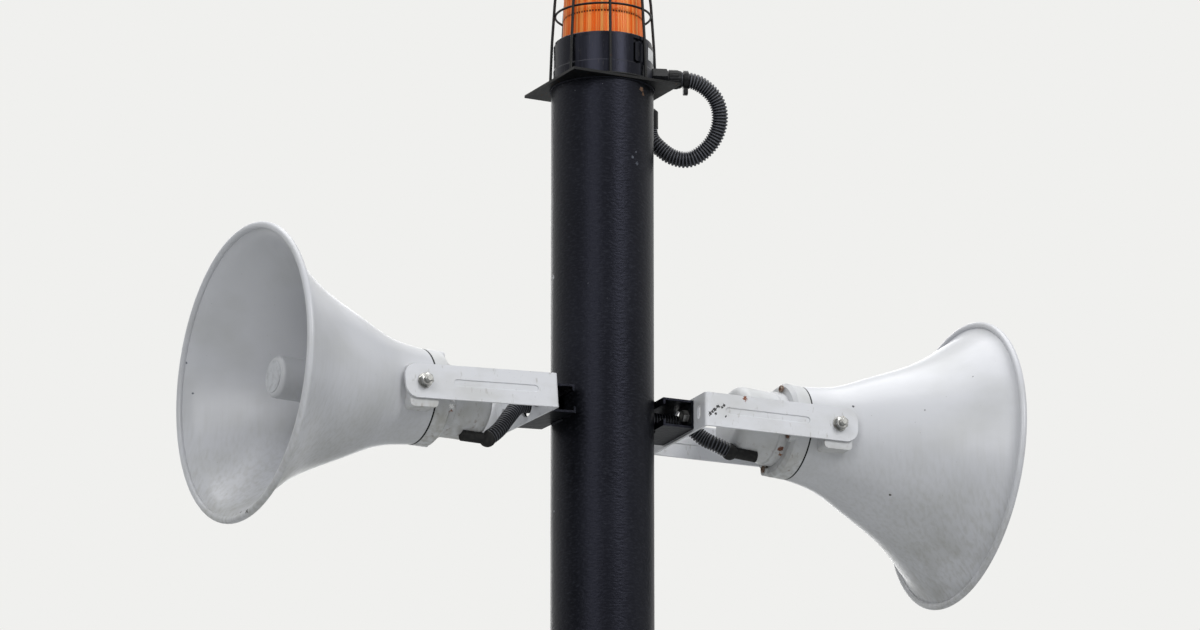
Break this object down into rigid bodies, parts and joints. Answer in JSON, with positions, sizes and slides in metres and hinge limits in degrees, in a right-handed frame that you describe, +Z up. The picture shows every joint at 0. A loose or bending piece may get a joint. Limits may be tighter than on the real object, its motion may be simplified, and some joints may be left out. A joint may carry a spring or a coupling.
{
  "type": "civil defense siren tower",
  "caption": "Straight steel mast on a bolted base plate, with horn loudspeakers back to back on U brackets and an amber beacon in a wire guard on its head.",
  "frame": {"origin": "centre of the base plate's underside, on the mast's axis", "axes": "+Z up along the mast, +X towards the right-hand horn of the picture, -Y towards the camera's side"},
  "size_m": [0.9023, 0.3365, 4.4857],
  "materials": {
    "mast_paint": "semi-gloss black paint with a light orange peel",
    "plate_paint": "black paint, worn at the edges",
    "horn_paint": "semi-gloss light grey enamel",
    "bracket_paint": "white powder coat, chipped",
    "zinc_steel": "zinc-plated steel, rust stained",
    "gasket_rubber": "matt",
    "conduit_plastic": "corrugated",
    "black_plastic": "moulded",
    "beacon_housing": "moulded, fine grain",
    "amber_lens": "clear amber with fine ribs",
    "lamp_reflector": "bright",
    "guard_wire": "black coated wire",
    "badge_plastic": "bare disc"
  },
  "bodies": {
    "mast": {"base_plate": "mast_paint", "base_gussets": "mast_paint", "mast_tube": "mast_paint", "hand_hole_cover": "mast_paint", "cover_screws": "zinc_steel", "top_plate": "plate_paint", "beacon_base": "beacon_housing", "beacon_lens": "amber_lens", "beacon_lamp": "lamp_reflector", "beacon_guard": "guard_wire", "beacon_gland": "black_plastic", "beacon_conduit": "conduit_plastic", "beacon_conduit_tie": "black_plastic", "mast_entry": "black_plastic", "left_channel": "mast_paint", "left_bracket": "bracket_paint", "left_bracket_bolts": "zinc_steel", "left_conduit": "conduit_plastic", "right_channel": "mast_paint", "right_bracket": "bracket_paint", "right_bracket_bolts": "zinc_steel", "right_conduit": "conduit_plastic"},
    "left_horn": {"left_bell": "horn_paint", "left_pivot_pads": "horn_paint", "left_gasket": "gasket_rubber", "left_rear_ring": "horn_paint", "left_ring_screws": "zinc_steel", "left_driver": "horn_paint", "left_tone_arm": "horn_paint", "left_reflector": "horn_paint", "left_badge": "badge_plastic", "left_conduit_boot": "gasket_rubber", "left_pivot_bolts": "zinc_steel"},
    "right_horn": {"right_bell": "horn_paint", "right_pivot_pads": "horn_paint", "right_gasket": "gasket_rubber", "right_rear_ring": "horn_paint", "right_ring_screws": "zinc_steel", "right_driver": "horn_paint", "right_tone_arm": "horn_paint", "right_reflector": "horn_paint", "right_badge": "badge_plastic", "right_conduit_boot": "gasket_rubber", "right_pivot_bolts": "zinc_steel"}
  },
  "joints": [
    {"name": "left_horn_tilt", "type": "hinge", "parent": "mast", "child": "left_horn", "pos_m": [-0.25652, -0.00582, 3.94496], "axis": [-0.0227, 0.9997, 0], "range_deg": [-20, 20], "deforming": ["left_conduit"]},
    {"name": "right_horn_tilt", "type": "hinge", "parent": "mast", "child": "right_horn", "pos_m": [0.25694, -0.01032, 3.95835], "axis": [-0.0401, -0.9992, 0], "range_deg": [-20, 20], "deforming": ["right_conduit"]}
  ]
}
